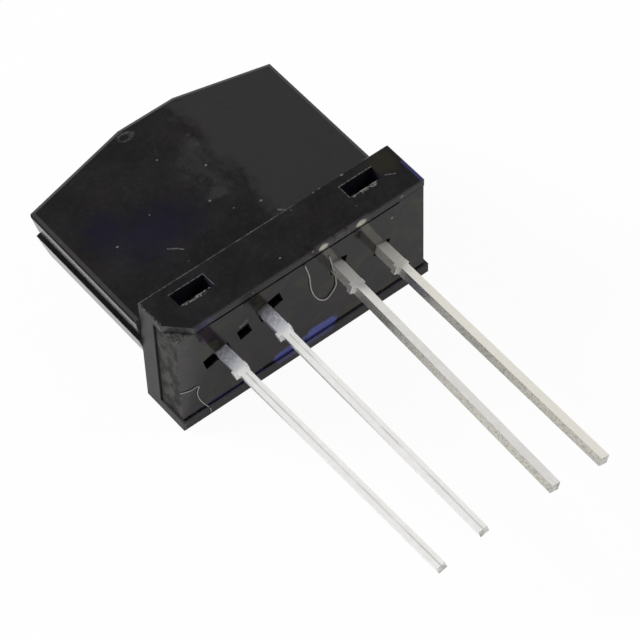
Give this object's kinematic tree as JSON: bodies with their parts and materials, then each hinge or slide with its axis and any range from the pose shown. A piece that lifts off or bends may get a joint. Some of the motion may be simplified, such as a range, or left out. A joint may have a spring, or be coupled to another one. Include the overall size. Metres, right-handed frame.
{
  "type": "reflective optical sensor",
  "caption": "Flanged black moulded reflective sensor with toed-in emitter and detector and a row of square leads.",
  "frame": {"origin": "midway between the two packages, on the plane of the rim's front wall and on the plane of the sensing face", "axes": "-Y along the leads, +Y towards the roof, -Z out of the sensing face, X along the row of leads"},
  "size_m": [0.0142, 0.0264, 0.0065],
  "materials": {
    "black_plastic": "satin moulded",
    "grey_plastic": "satin moulded",
    "clear_epoxy": "clear moulded",
    "dark_epoxy": "dark moulded",
    "tinned_lead": "tinned",
    "chip": "polished semiconductor",
    "bond_wire": "gold"
  },
  "bodies": {
    "root": {"housing": "black_plastic", "rear_cover": "black_plastic", "base_plate": "grey_plastic", "emitter_package": "clear_epoxy", "detector_package": "dark_epoxy", "emitter_outer_lead": "tinned_lead", "emitter_inner_lead": "tinned_lead", "detector_inner_lead": "tinned_lead", "detector_outer_lead": "tinned_lead", "emitter_chip": "chip", "detector_chip": "chip", "emitter_bond_wire": "bond_wire", "detector_bond_wire": "bond_wire"}
  },
  "joints": []
}
